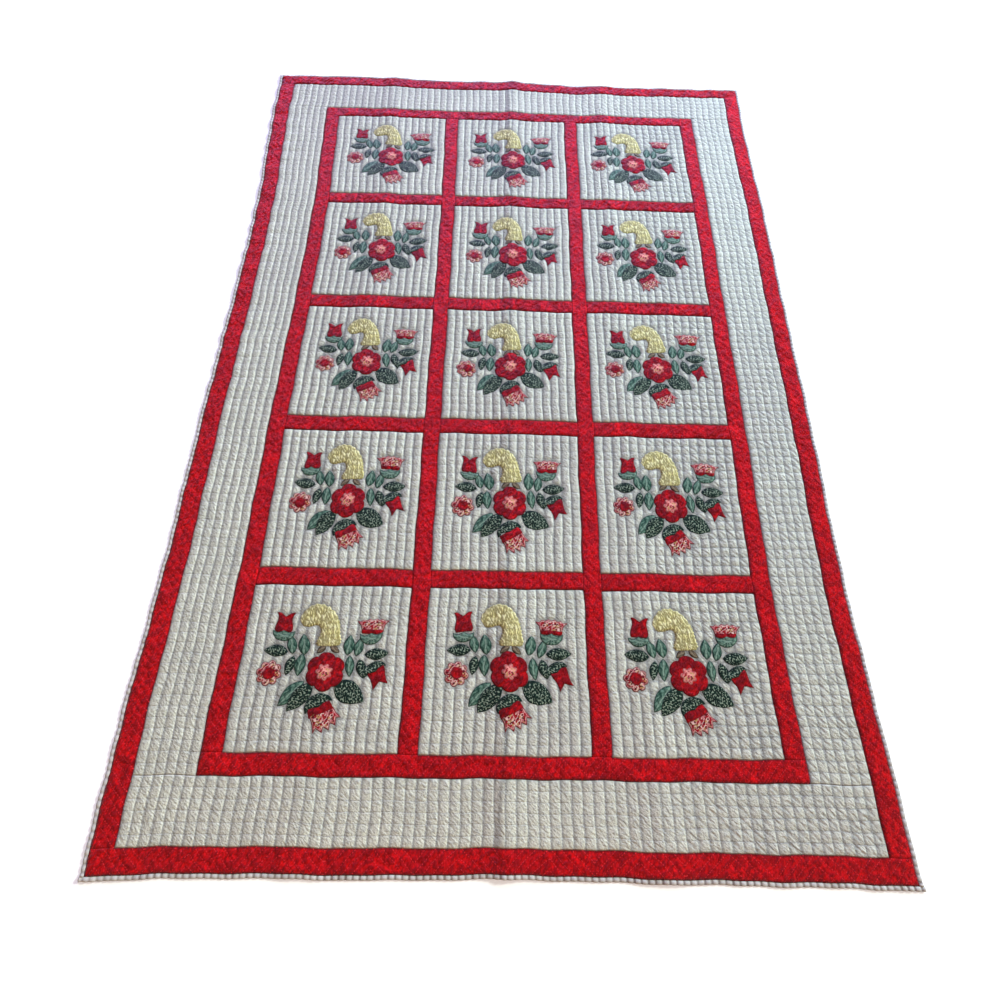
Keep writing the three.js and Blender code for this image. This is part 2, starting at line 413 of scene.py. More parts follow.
# Cross-section of the binding: share of its width outwards from the seam, height in mm
ROLL = np.array([
    (0, 0), (0, 1.9), (0.12, 2.9), (0.35, 3.6), (0.62, 3.5), (0.84, 2.8), (0.97, 1.7), (1, 0.7), (0.93, 0),
])
TICK = 0.0132  # pitch of the puckers along the binding
TICK_STATIONS = np.array([0, 0.2, 0.36, 0.5, 0.64, 0.8])
TICK_WIDTH = 0.21  # of a pucker, as a share of the pitch
DRAWN_IN, DRAWN_DOWN = 0.10, 0.42  # how much a pucker takes off the width and the height
binding_seams = {}  # by piece: the line of its sewing, for the stitches


def binding_roll(name, low, high, seam, side, lengthwise, rng):
    """Narrow edge binding, a soft roll that every sewing stitch puckers."""
    ticks = round((high - low) / TICK)
    s = np.append((np.arange(ticks)[:, None] + TICK_STATIONS).ravel(), ticks)
    deep = rng.uniform(0.7, 1.0, ticks + 1)[np.minimum(s.astype(int), ticks)]
    pucker = deep * np.exp(-(((s % 1) - 0.5) / TICK_WIDTH) ** 2)
    run = low + (high - low) * s / ticks
    out = SLIT + ROLL[:, 0] * (BINDING - SLIT)
    across = side * (seam + out[None] * (1 - DRAWN_IN * pucker[:, None] * ROLL[:, 0]))
    along = np.broadcast_to(run[:, None], across.shape)
    up = ROLL[:, 1] * MM * (1 - DRAWN_DOWN * pucker[:, None])
    x, y = (across, along) if lengthwise else (along, across)
    points = in_space(x, y, up)
    rings, count = across.shape
    number = np.arange(rings * count).reshape(rings, count)
    caps = [number[0, ::-1].tolist(), number[-1].tolist()]
    faces = grid_faces(np.append(number, number[:, :1], axis=1)) + caps
    if lengthwise == (side < 0):
        faces = [face[::-1] for face in faces]
    cut = np.stack([s[:, None] + 0 * out[None], 0 * s[:, None] + ROLL[:, 0][None]], -1)
    # Painted shade in each pucker.
    dark = np.broadcast_to(pucker[:, None], across.shape)
    binding_seams[name] = points[np.abs((s % 1) - 0.5) < 0.01][:, 2]
    return new_piece(name, points.reshape(-1, 3), faces, cut.reshape(-1, 2), {"dip": dark.ravel()})


# Applique charts: outlines in mm; flower heads stand upright on the origin, the others lie about it
Patch = namedtuple("Patch", "cloth outline core angle rise crease lattice cup")


def inside_depth(x, y, outline):
    """Distance of points from an outline, positive inside; far points are given a flat -1."""
    points = np.stack([x.ravel(), y.ravel()], -1)
    margin = 8 * MM
    near = np.all((points > outline.min(0) - margin) & (points < outline.max(0) + margin), axis=1)
    depth = np.full(len(points), -1.0)
    if near.any():
        p = points[near]
        step = np.roll(outline, -1, axis=0) - outline
        off = p[:, None] - outline[None]
        t = np.clip((off * step).sum(-1) / (step * step).sum(-1), 0, 1)
        gap = np.sqrt(((off - t[..., None] * step) ** 2).sum(-1)).min(1)
        ends = np.roll(outline, -1, axis=0)
        spans = (outline[:, 1] > p[:, 1:]) != (ends[:, 1] > p[:, 1:])
        rise = np.where(step[:, 1] == 0, 1e-12, step[:, 1])
        crossing = outline[:, 0] + step[:, 0] * (p[:, 1:] - outline[:, 1]) / rise
        inside = (spans & (p[:, :1] < crossing)).sum(1) % 2 == 1
        depth[near] = np.where(inside, gap, -gap)
    return depth.reshape(x.shape)


CURVE = np.arange(3) / 3  # places of an outline's points between two of its chart


def drawn(points, corners):
    """Closed line through charted points, curved but for the corners."""
    count, out = len(points), []
    for k in range(count):
        a, b = points[k], points[(k + 1) % count]
        before = points[k - 1] if k not in corners else a
        after = points[(k + 2) % count] if (k + 1) % count not in corners else b
        out += [curved(t, a, b, (b - before) / 2, (after - a) / 2) for t in CURVE]
    return np.array(out)


LEAF_POINTS = 11  # along each side


def leaf(length, width, curl):
    """Pointed leaf along +X about its middle, bent sideways by curl."""
    t = np.linspace(0, 1, LEAF_POINTS)
    half = width / 2 * np.sin(math.pi * t ** 0.9) ** 0.8
    bend = curl * (t - 0.35) ** 2
    upper, lower = (np.stack([length * (t - 0.5), side * half + bend], -1) for side in (1, -1))
    return np.concatenate([lower[:-1], upper[:0:-1]])


def rosette(radius, lobes, notch, count=72):
    """Round flower with rounded lobes and sharp notches between them."""
    angle = 2 * math.pi * np.arange(count) / count
    lobe = np.abs(np.sin(lobes * angle / 2)) ** 0.7
    reach = radius * (1 - notch + notch * lobe)
    crease = np.exp(-lobe / 0.22)
    return np.stack([reach * np.cos(angle), reach * np.sin(angle)], -1), crease


# Right halves of flower heads in shares of their width and height, from the top down, and their corners
TULIP = [
    (0, 0.78), (0.26, 0.97), (0.52, 1.0), (0.41, 0.84), (0.37, 0.62), (0.43, 0.36), (0.47, 0.12),
    (0.40, -0.06), (0, -0.06),
], (0, 2, 7, 9, 14)
BUD = [
    (0, 0.70), (0.2, 0.84), (0.43, 1.0), (0.38, 0.70), (0.41, 0.42), (0.47, 0.14), (0.46, -0.06),
    (0, -0.10),
], (0, 2, 6, 8, 12)
CALYX = [
    (0, 0.16), (0.14, 0.02), (0.28, -0.08), (0.40, 0.02), (0.5, 0.22), (0.46, -0.40), (0.25, -0.86),
    (0, -1.0),
], (0, 4, 10)


def mirrored(chart, width, height):
    """Tulip, bud or cup of a flower from the chart of its right half."""
    right_half, corners = chart
    both = right_half + [(-x, y) for x, y in right_half[-2:0:-1]]
    return drawn(np.array(both) * (width, height), corners)


def fan(base, top, height, points, bite):
    """Open flower head whose sides flare out to a row of points, cut in by a share of its height."""
    tips = np.linspace(top / 2, -top / 2, 2 * points - 1)
    point = np.arange(2 * points - 1) % 2 == 0
    bow = 0.16 * height * (1 - (2 * tips / top) ** 2)
    level = np.where(point, 0.88, 0.88 - bite) * height + bow
    rim = np.stack([tips * np.where(np.abs(tips) > 0.49 * top, 1.06, 0.96), level], -1)
    waist = base / 2 + 0.18 * (top - base)
    left, right = (-waist, 0.55 * height), (waist, 0.55 * height)
    return edged([(-base / 2, 0), (base / 2, 0), right, *rim, left], 3)


def edged(points, steps):
    """Closed straight-sided line with a few points along each side."""
    points = np.array(points, float)
    ahead = np.roll(points, -1, axis=0)
    t = np.arange(steps)[None, :, None] / steps
    return (points[:, None] + (ahead - points)[:, None] * t).reshape(-1, 2)


# Both sides of the gathered horn, in mm from the middle of the block, from its mouth to its tail
HORN_OUTER = np.array([
    (28, 43), (31, 50), (30.5, 58), (27.5, 67), (26, 76), (24.5, 85), (22.5, 94), (17, 106), (9, 119),
    (-4, 130), (-20, 136), (-38, 135.5), (-54, 126), (-65, 112), (-67.5, 98),
])
HORN_INNER = np.array([
    (-22, 41), (-27, 48), (-24.5, 55), (-21, 63), (-19, 71), (-19, 76), (-20, 80), (-21.5, 83), (-24, 85),
    (-27, 85.5), (-30, 85), (-34.5, 83.5), (-40, 81.5), (-47, 81), (-57, 83),
])
HORN_ROWS, HORN_COLUMNS = 85, 11
GATHERED = 0.05  # how far a gather draws in each side, as a share of the horn's width


def horn(rng):
    """Points of the gathered horn, row by row, its sides drawn in at every gather."""
    at = np.linspace(0, len(HORN_OUTER) - 1, HORN_ROWS)
    known = np.arange(len(HORN_OUTER))
    outer = np.stack([np.interp(at, known, side) for side in HORN_OUTER.T], -1)
    inner = np.stack([np.interp(at, known, side) for side in HORN_INNER.T], -1)
    bulge = GATHERED * (np.abs(wave(0.56 * at + rng.uniform())) + 0.5 * rng.uniform(0, 1, HORN_ROWS))
    share = np.linspace(0, 1, HORN_COLUMNS)[None, :, None]
    share = share + (0.5 - share) * 2 * (GATHERED - bulge)[:, None, None]
    return inner[:, None] * (1 - share) + outer[:, None] * share


def turned(outline, angle):
    """Chart turned by an angle in degrees."""
    c, s = math.cos(math.radians(angle)), math.sin(math.radians(angle))
    return np.asarray(outline) @ np.array([[c, s], [-s, c]])


# Leaves of a bouquet, in mm from the middle of its block: cloth, length and width, place, angle.
# A leaf's angle in degrees is where its tip points, and a flower's how far it leans from upright.
LEAVES = [
    ("green", (46, 27), (-53, 48), 96), ("green", (44, 23), (-77, 48), 104),
    ("speckled", (55, 28), (-111, 34), 176), ("speckled", (44, 22), (-76, 1), -103),
    ("green", (49, 25), (-54, 1), -93), ("green", (46, 26), (47, 48), 84),
    ("green", (44, 22), (69, 43), 74), ("speckled", (57, 28), (108, 29), 3),
    ("green", (49, 22), (51, 0), -86), ("speckled", (46, 24), (75, -2), -76),
    ("green", (70, 32), (-64, -58), -132), ("speckled", (78, 38), (-45, -65), -128),
    ("speckled", (78, 49), (57, -53), -34),
    ("olive", (28, 15), (-12, 38), -143), ("olive", (28, 15), (15, 38), -40),
]


def bouquet(rng):
    """Patches of one block in mm about its middle, lower ones first, each set a little differently."""
    made = []

    def sew(cloth, outline, at, angle, rise, crease=None, lattice=None, core=(0, 0), cup=False, loose=1.0):
        """Adds a patch near its place, angle and size; loose says how near, and rise is in mm."""
        nudge = rng.normal(0, 1.0 * loose, 2)
        tilt = angle + rng.normal(0, 2.0 * loose)
        size = rng.normal(1, 0.02 * loose)

        def put(chart):
            return turned(np.asarray(chart, float) * size, tilt) + at + nudge

        shape = put(outline)
        nodes = None if lattice is None else put(lattice)
        made.append(Patch(cloth, shape, put([core])[0], math.radians(tilt), rise, crease, nodes, cup))

    for cloth, (length, width), at, angle in LEAVES:
        curl = 10.0 if width > 45 else 2.5
        sew("leaf_" + cloth, leaf(length, width, curl), at, angle, 1.5)
    lattice = horn(rng)
    ring = np.concatenate([lattice[:, -1], lattice[::-1, 0]])
    sew("horn", ring, (0, 3), 0, 2.2, lattice=lattice, core=(0, 80), loose=0.4)
    sew("petal", mirrored(TULIP, 43, 42), (-101, 74.5), 1, 1.8, core=(0, 18))
    sew("leaf_green", mirrored(CALYX, 49, 21), (-101, 72.5), 0, 1.6, core=(0, -8), cup=True)
    sew("print", fan(46, 73, 34, 6, 0.1), (93, 73), -1, 1.6, core=(0, 4))
    sew("petal", edged([(-23, -2), (23, -2), (26, 9), (-26, 9)], 5), (93, 73), -1, 0.9, core=(0, 3))
    sew("leaf_green", mirrored(CALYX, 51, 23), (93, 73), -2, 1.6, core=(0, -8), cup=True)
    sew("print", rosette(27.5, 8, 0.2, 56)[0], (-116, -16), 10, 1.6)
    sew("petal", rosette(13.5, 5, 0.08, 30)[0], (-115, -16), 0, 1.2)
    sew("petal", mirrored(BUD, 42, 43), (105.5, -3), -157, 1.7, core=(0, 16))
    sew("leaf_speckled", mirrored(CALYX, 54, 20), (105, -8), -148, 1.6, core=(0, -6))
    sew("print", fan(50, 64, 54, 5, 0.22), (-1, -79), -152, 1.6, core=(0, 14))
    sew("petal", edged([(-25, -2), (25, -2), (28, 19), (-28, 19)], 5), (-1, -79), -152, 0.9, core=(0, 8))
    sew("leaf_speckled", mirrored(CALYX, 61, 25), (0, -80), -152, 1.5, core=(0, -7), cup=True)
    outline, crease = rosette(43.5, 6, 0.15)
    sew("petal", outline, (0, -9), 2, 2.1, crease=crease)
    sew("pale_print", rosette(18.5, 7, 0.3, 42)[0], (0, -9), 0, 1.2)
    return made


RIM_BURIED = 0.3 * MM  # how far a turned-under rim sinks into what it is sewn on
RIM_ROUND = 1.3 * MM
CREASED = 0.5 * MM  # depth of the creases between lobes and of the horn's gathers
UNEVEN = 0.1 * MM  # of the other patches
GATHER_ROWS = 6.2  # rows of the horn from one gather to the next
RINGS = ((0.6, 0.92), (1.8, 0.8), (4.5, 0.62), (12, 0.34))  # inset in mm, least share of the way to the rim


def own_height(patch, depth):
    """Rise of a patch above what it is sewn on, by distance from its rim."""
    rise = patch.rise * MM
    return rise * (1 - np.exp(-depth / RIM_ROUND)) + 0.3 * rise * smooth(0, 14 * MM, depth) - RIM_BURIED


def star_lattice(patch):
    """Rings of points from the rim to the core, and the faces of the closed patch."""
    away = patch.outline - patch.core
    length = np.linalg.norm(away, axis=1)
    shares = [np.ones(len(length))]
    for inset, least in RINGS:
        shares.append(np.maximum(1 - inset * MM / length, least))
    points = [patch.core + away * share[:, None] for share in shares]
    count, rings = len(length), len(points)
    number = np.arange(count * rings).reshape(rings, count)
    ahead = np.roll(number, -1, axis=1)
    faces = grid_faces(np.append(number, number[:, :1], axis=1))
    top, bottom = count * rings, count * rings + 1
    for k in range(count):
        faces.append((number[-1, k], ahead[-1, k], top))
        faces.append((ahead[0, k], number[0, k], bottom))
    rim = np.concatenate([np.arange(count * rings) < count, [False, True]])
    plan = np.concatenate([*points, [patch.core], [patch.core]])
    return plan, faces, rim, number[1]


def ribbon_lattice(patch):
    """Points of a patch that is charted as a band with two sides, and its faces."""
    rows, columns = patch.lattice.shape[:2]
    number = np.arange(rows * columns).reshape(rows, columns)
    faces = grid_faces(number)
    left, right = number[:, 0], number[:, -1]
    faces += [(left[k], left[k + 1], right[k + 1], right[k]) for k in range(rows - 1)]
    faces += [number[0, ::-1].tolist(), number[-1].tolist()]
    rim = np.zeros((rows, columns), bool)
    rim[[0, -1]] = rim[:, [0, -1]] = True
    loop = np.concatenate([number[0, 1:-1], number[1:-1, -2], number[-1, -2:0:-1], number[-2:0:-1, 1]])
    return patch.lattice.reshape(-1, 2), faces, rim.ravel(), loop


def twice_area(outline):
    """Twice the area inside an outline, negative where it runs clockwise."""
    ahead = np.roll(outline, -1, axis=0)
    return (outline[:, 0] * ahead[:, 1] - outline[:, 1] * ahead[:, 0]).sum()


class Cuts:
    """Collects the patches that are cut from one cloth, over all blocks."""

    def __init__(self):
        self.parts, self.faces, self.kind, self.hems = [], [], [], []
        self.count, self.area = 0, 0.0

    def add(self, patch, lower, kind, rng):
        """Adds a patch of one kind of the cloth, laid over the lower patches of its bouquet."""
        ribbon = patch.lattice is not None
        plan, faces, rim, loop = (ribbon_lattice if ribbon else star_lattice)(patch)
        x, y = plan.T
        depth = np.maximum(inside_depth(x, y, patch.outline), 0)
        depth[rim] = 0
        under = np.zeros(len(plan))
        for other in lower:
            below = inside_depth(x, y, other.outline)
            under = np.maximum(under, np.where(below > 0, own_height(other, np.maximum(below, 0)), 0))
        height = own_height(patch, depth)
        if patch.crease is not None:
            rings = (len(plan) - 2) // len(patch.crease)
            crease = np.append(np.tile(patch.crease, rings), [0, 0])
            height = height - CREASED * crease * smooth(0, 2 * MM, depth)
        local = turned(plan - patch.core, -math.degrees(patch.angle))
        mark = np.abs(local[:, 1])
        if patch.cup:  # folds that fan out, in place of the one along the middle
            fanned = np.arctan2(local[:, 0], local[:, 1] - 9 * MM)
            mark = np.abs(wave(fanned * 1.6)) * 3 * MM
        if ribbon:
            along, across = np.indices(patch.lattice.shape[:2]).reshape(2, -1)
            bent = along + 1.5 * wave(across / 9 + along / 31 + rng.uniform())
            mark = np.clip(0.5 + 0.5 * wave(bent / GATHER_ROWS) + 0.2 * rng.normal(0, 1, len(plan)), 0, 1)
            height = height - CREASED * mark * smooth(0, 3 * MM, depth)
        else:
            height = height + UNEVEN * rng.normal(0, 1, len(plan)) * smooth(0, 3 * MM, depth)
        space = in_space(x, y, THICK + under + height)
        self.parts.append((space, local, mark, depth))
        self.faces += [[self.count + k for k in face] for face in faces]
        self.kind += [kind] * len(faces)
        self.hems.append(space[loop])
        self.count += len(plan)
        self.area += abs(twice_area(patch.outline)) / 2

    def piece(self, name):
        """All patches of the cloth as one mesh."""
        points, cut, rib, inset = (np.concatenate(part) for part in zip(*self.parts))
        made = new_piece(name, points, self.faces, cut, {"rib": rib, "inset": inset})
        made.data.polygons.foreach_set("material_index", np.array(self.kind, np.int32))
        return made


def new_node(tree, kind, settings=None, sockets=None):
    """A node of a kind: its settings are set first, then its sockets' values or links."""
    made = tree.nodes.new(kind)
    for key, value in (settings or {}).items():
        setattr(made, key, value)
    named = {socket.identifier: socket for socket in made.inputs}
    for key, value in (sockets or {}).items():
        socket = made.inputs[key] if isinstance(key, int) else named.get(key) or made.inputs[key]
        if isinstance(value, bpy.types.NodeSocket):
            tree.links.new(value, socket)
        else:
            socket.default_value = value
    return made


# Stitches, made by Geometry Nodes along sewing lines
STITCH_INPUTS = {
    "Sewing lines": "Geometry", "Pitch": "Float", "Length": "Float", "Thickness": "Float",
    "Slant": "Float", "Unevenness": "Float", "Seed": "Int", "Thread": "Material",
}


def stitch_tree():
    """Tree that sets small slanting stitches along every line of a wire mesh."""
    tree = bpy.data.node_groups.new("stitches_along_a_hem", "GeometryNodeTree")
    for label, kind in STITCH_INPUTS.items():
        tree.interface.new_socket(label, in_out="INPUT", socket_type="NodeSocket" + kind)
    tree.interface.new_socket("Stitches", in_out="OUTPUT", socket_type="NodeSocketGeometry")

    def add(kind, sockets=None, output=0, **settings):
        """Adds a node and gives one of its outputs, or all."""
        outputs = new_node(tree, kind, settings, sockets).outputs
        return outputs if output is None else outputs[output]

    given = add("NodeGroupInput", output=None)
    thick, uneven = given["Thickness"], given["Unevenness"]
    lines = add("GeometryNodeMeshToCurve", {"Mesh": given["Sewing lines"]})
    places = add("GeometryNodeResampleCurve", {"Curve": lines, "Length": given["Pitch"]}, mode="LENGTH")
    along = add("GeometryNodeInputTangent")
    facing = add("FunctionNodeAlignRotationToVector", {"Vector": along}, axis="X", pivot_axis="Z")
    least = add("ShaderNodeMath", {0: uneven, 1: -1.0}, operation="MULTIPLY")
    limits = {2: least, 3: uneven, "Seed": given["Seed"]}
    chance = add("FunctionNodeRandomValue", limits, output=1, data_type="FLOAT")
    lean = add("ShaderNodeMath", {0: given["Slant"], 1: chance}, operation="ADD")
    turn = add("FunctionNodeEulerToRotation", {"Euler": add("ShaderNodeCombineXYZ", {"Z": lean})})
    leaning = {"Rotation": facing, "Rotate By": turn}
    pose = add("FunctionNodeRotateRotation", leaning, rotation_space="LOCAL")
    size = add("ShaderNodeCombineXYZ", {"X": given["Length"], "Y": thick, "Z": thick})
    bead = add("GeometryNodeMeshUVSphere", {"Segments": 4, "Rings": 3, "Radius": 0.5})
    shape = add("GeometryNodeTransform", {"Geometry": bead, "Scale": size})
    sewn = add("GeometryNodeInstanceOnPoints", {"Points": places, "Instance": shape, "Rotation": pose})
    real = add("GeometryNodeRealizeInstances", {"Geometry": sewn})
    done = add("GeometryNodeSetMaterial", {"Geometry": real, "Material": given["Thread"]})
    add("NodeGroupOutput", {"Stitches": done}, output=None)
    return tree


def sew_along(name, lines, closed, tree, thread, **sizes):
    """Stitches along lines of points, as one plain mesh."""
    points, edges, count = [], [], 0
    for line in lines:
        last = len(line) if closed else len(line) - 1
        edges += [(count + k, count + (k + 1) % len(line)) for k in range(last)]
        points.append(line)
        count += len(line)
    wire = bpy.data.meshes.new(name)
    wire.from_pydata(np.concatenate(points).tolist(), edges, [])
    piece = linked(name, wire)
    sewing = piece.modifiers.new("stitches", "NODES")
    sewing.node_group = tree
    for label, value in {**sizes, "Thread": thread}.items():
        sewing[tree.interface.items_tree[label].identifier] = value
    seen = piece.evaluated_get(bpy.context.evaluated_depsgraph_get())
    mesh = bpy.data.meshes.new_from_object(seen)
    piece.modifiers.clear()
    piece.data = mesh
    mesh.polygons.foreach_set("use_smooth", np.ones(len(mesh.polygons), bool))
    return piece


# Finishes
def maths(operation):
    """Method of a wire that adds a Math node."""
    return lambda self, *others: self.combined(operation, self, *others)


class Wire:
    """A value inside a finish; arithmetic on it adds Math nodes."""

    def __init__(self, finish, socket):
        self.finish, self.socket = finish, socket

    def combined(self, operation, *values):
        made = self.finish.node("ShaderNodeMath", {"operation": operation}, dict(enumerate(values)))
        return Wire(self.finish, made.outputs[0])

    __add__ = __radd__ = maths("ADD")
    __mul__ = __rmul__ = maths("MULTIPLY")
    __sub__, __lt__, or_more = maths("SUBTRACT"), maths("LESS_THAN"), maths("MAXIMUM")
    fraction, size, sine = maths("FRACT"), maths("ABSOLUTE"), maths("SINE")

    def __rsub__(self, other):
        return self.combined("SUBTRACT", other, self)

    def step(self, low, high):
        """Soft step from 0 at low to 1 at high."""
        sockets = {"Value": self, "From Min": low, "From Max": high}
        made = self.finish.node("ShaderNodeMapRange", {"interpolation_type": "SMOOTHSTEP"}, sockets)
        return Wire(self.finish, made.outputs[0])


class Finish:
    """One cloth's material, built node by node."""

    def __init__(self, name):
        self.material = bpy.data.materials.new(name)
        self.material.use_nodes = True
        self.tree = self.material.node_tree
        self.tree.nodes.clear()

    def node(self, kind, settings=None, sockets=None):
        """A node of the finish, whose sockets take values or wires."""
        given = {key: getattr(value, "socket", value) for key, value in (sockets or {}).items()}
        return new_node(self.tree, kind, settings, given)

    def wire(self, kind, output, settings=None, sockets=None):
        """One output of a new node, by its identifier."""
        made = self.node(kind, settings, sockets)
        named = {socket.identifier: socket for socket in made.outputs}
        return Wire(self, named[output])

    def place(self):
        return self.wire("ShaderNodeTexCoord", "Object")

    def cut(self):
        return self.wire("ShaderNodeUVMap", "UV", {"uv_map": "cut"})

    def value(self, label):
        return self.wire("ShaderNodeAttribute", "Fac", {"attribute_name": label})

    def axes(self, vector):
        made = self.node("ShaderNodeSeparateXYZ", None, {"Vector": vector})
        return [Wire(self, socket) for socket in made.outputs]

    def scaled(self, vector, by, turn=0.0):
        """A vector turned back by an angle in degrees, then scaled along each axis."""
        sockets = {"Vector": vector, "Scale": [1 / b for b in by], "Rotation": (0, 0, math.radians(turn))}
        return self.wire("ShaderNodeMapping", "Vector", {"vector_type": "TEXTURE"}, sockets)

    def noise(self, vector, scale, detail=2.0):
        sockets = {"Vector": vector, "Scale": scale, "Detail": detail}
        return self.wire("ShaderNodeTexNoise", "Fac", None, sockets)

    def cells(self, vector, scale, output):
        return self.wire("ShaderNodeTexVoronoi", output, None, {"Vector": vector, "Scale": scale})

    def mix(self, factor, a, b):
        sockets = {"Factor_Float": factor, "A_Color": tinted(a), "B_Color": tinted(b)}
        return self.wire("ShaderNodeMix", "Result_Color", {"data_type": "RGBA"}, sockets)

    def layers(self, tone, *over):
        """A tone with others laid over it in turn, each by its own amount."""
        for amount, colour in over:
            tone = self.mix(amount, tone, colour)
        return tone

    def rim(self, start=0.0, end=0.0042):
        """1 along the rim of a patch, and 0 from a distance inside it."""
        return 1 - self.value("inset").step(start, end)

    def cloth(self, colour, height, depth, rough, sheen=0.2, tint=(1.0, 1.0, 1.0), specular=0.2):
        """Closes the finish as cotton: colour, and relief of a given depth."""
        bump = {"Strength": 1.0, "Distance": depth, "Height": height}
        sockets = {
            "Base Color": colour, "Roughness": rough, "Specular IOR Level": specular,
            "Sheen Weight": sheen, "Sheen Roughness": 0.4, "Sheen Tint": tinted(tint),
            "Normal": self.wire("ShaderNodeBump", "Normal", None, bump),
        }
        shade = self.wire("ShaderNodeBsdfPrincipled", "BSDF", None, sockets)
        self.node("ShaderNodeOutputMaterial", None, {"Surface": shade})
        return self.material


def tinted(colour):
    """A colour as a socket takes it."""
    return colour if isinstance(colour, Wire) else (*colour, 1.0)


THREADS = 2 * math.pi / 0.00075  # of a plain weave, as an angle for each metre
TWIST = 9000.0  # of a sewing thread, likewise


def weave(finish, vector):
    """Plain weave, over and under, from -1 to 1."""
    x, y, _ = finish.axes(vector)
    return (x * THREADS).sine() * (y * THREADS).sine()


def off_line(count):
    """Distance from the nearest of the lines that a value counts."""
    return ((count + 0.5).fraction() - 0.5).size()


STITCHED = 0.58  # share of a running stitch that lies on top


def dashes(line, run, width, rate):
    """Running stitches on lines counted by one value, spaced along another."""
    return (off_line(line) < width) * ((run * rate).fraction() < STITCHED)


def white_cotton():
    """White cloth, mottled and creased across its squares, with painted shade along its channels, in its
    creases, wrinkles and lines across, along its seams and along the middle fold.
    """
    f = Finish("white_cotton")
    place, cut, bare = f.place(), f.cut(), f.value("bare")
    u, v, _ = f.axes(cut)
    stitch = dashes(u, v, 0.022, 3.5).or_more(dashes(v, u, 0.022, 3.5)) * bare
    slant = (u.fraction() + v.fraction() - 1).size()
    amount = f.axes(place)[0].step(0.05, 0.5) * 0.7 + 0.3
    # Painted shade in the diagonal creases of the squares, stronger towards the right.
    crease = (1 - slant.step(0.0, 0.36)) * f.noise(cut, 0.8).step(0.38, 0.6) * amount * bare
    # Painted shade along the thin quilting lines across.
    across = (1 - off_line(v).step(0.015, 0.085)) * bare
    crinkle = f.noise(f.scaled(place, (250, 125, 150), 50), 1.0, 1.5)
    blotch = f.noise(place, 260.0, 1.0)
    mottle = f.noise(place, 14.0, 3.0)
    tone = f.layers(
        f.mix(mottle.step(0.35, 0.7), (0.745, 0.740, 0.590), (0.686, 0.682, 0.546)),
        (f.noise(place, 2.3, 1.0).step(0.4, 0.75) * 0.5, (0.62, 0.595, 0.50)),
        (blotch.step(0.45, 0.7) * 0.4, (0.44, 0.43, 0.37)),
        # Painted shade in the channels and quilting lines.
        (f.value("dip").step(0.29, 0.94) * 0.78, (0.18, 0.18, 0.17)),
        # Painted shade of the wrinkles.
        (crinkle.step(0.5, 0.72) * 0.45, (0.34, 0.345, 0.32)),
        (crease * 0.3, (0.29, 0.30, 0.28)),
        (across * 0.13, (0.26, 0.265, 0.245)),
        # Painted shade along the seams.
        (f.value("ditch") * 0.15, (0.40, 0.30, 0.29)),
        # Painted shade along the middle fold.
        (f.value("fold") * 0.5, (0.13, 0.13, 0.13)),
        (stitch * 0.5, (0.74, 0.74, 0.71)),
    )
    height = crinkle + blotch * 0.3 - crease * 0.5 - across * 0.15 + weave(f, place) * 0.03 + stitch * 0.2
    return f.cloth(tone, height, 0.0026, mottle * 0.1 + 0.86, sheen=0.15)


def red_cotton(name="red_cotton", quilted=True):
    """Red cloth of the quilted strips, or the darker one of the petals."""
    f = Finish(name)
    place = f.place()

    def rumpled(by, detail):
        return f.noise(f.scaled(place, by, -35), 1.0, detail)

    light, dark, patch = (0.90, 0.74, 15.0) if quilted else (0.60, 0.34, 60.0)
    crumple, crinkle = rumpled((125, 78, 105), 1.0), rumpled((230, 150, 190), 2.0)
    mottle = f.noise(place, patch, 3.0)
    tone = f.layers(
        f.mix(mottle.step(0.38, 0.62), (light, 0.0030, 0.0035), (dark, 0.0018, 0.003)),
        # The red darkens with its rumples: partly uneven tone, partly painted shade of them.
        (crumple.step(0.42, 0.60) * 0.65, (0.36 * dark, 0.0012, 0.002)),
        (crinkle.step(0.46, 0.62) * 0.35, (0.3 * dark, 0.001, 0.002)),
    )
    height = crumple + crinkle * 0.3 + weave(f, place) * 0.02
    if quilted:
        count, run, _ = f.axes(f.cut())
        stitch = dashes(count, run, 0.06, 2.4)
        # The strips across get painted shade on their lumps, more towards the head, and deeper lumps.
        lump, grain = rumpled((62, 40, 52), 1.0), f.value("grain")
        tone = f.layers(
            tone,
            (lump.step(0.42, 0.62) * (grain * 0.5 + 0.14), (0.34 * dark, 0.0012, 0.002)),
            # Painted shade on one slant of each chevron, and half of it all over the plain strips.
            (f.value("facing") * 0.22, (0.24, 0.001, 0.003)),
            # Painted shade in the valleys between the ribs.
            (f.value("dip").step(0.35, 1.0) * 0.45, (0.18, 0.001, 0.003)),
            # Painted shade along the seams.
            (f.value("ditch") * 0.85, (0.06, 0.001, 0.002)),
            # Painted shade along the middle fold.
            (f.value("fold") * 0.5, (0.12, 0.001, 0.002)),
            (stitch * 0.75, (0.92, 0.035, 0.04)),
        )
        height = height - lump * (grain * 0.8 + 0.8) + stitch * 0.2
    else:
        # Painted shade along the petals' rim.
        tone = f.mix(f.rim() * 0.75, tone, (0.10, 0.001, 0.002))
    rough = mottle * 0.08 + 0.38
    return f.cloth(tone, height, 0.008, rough, sheen=0.05, tint=(1.0, 0.6, 0.9), specular=0.3)


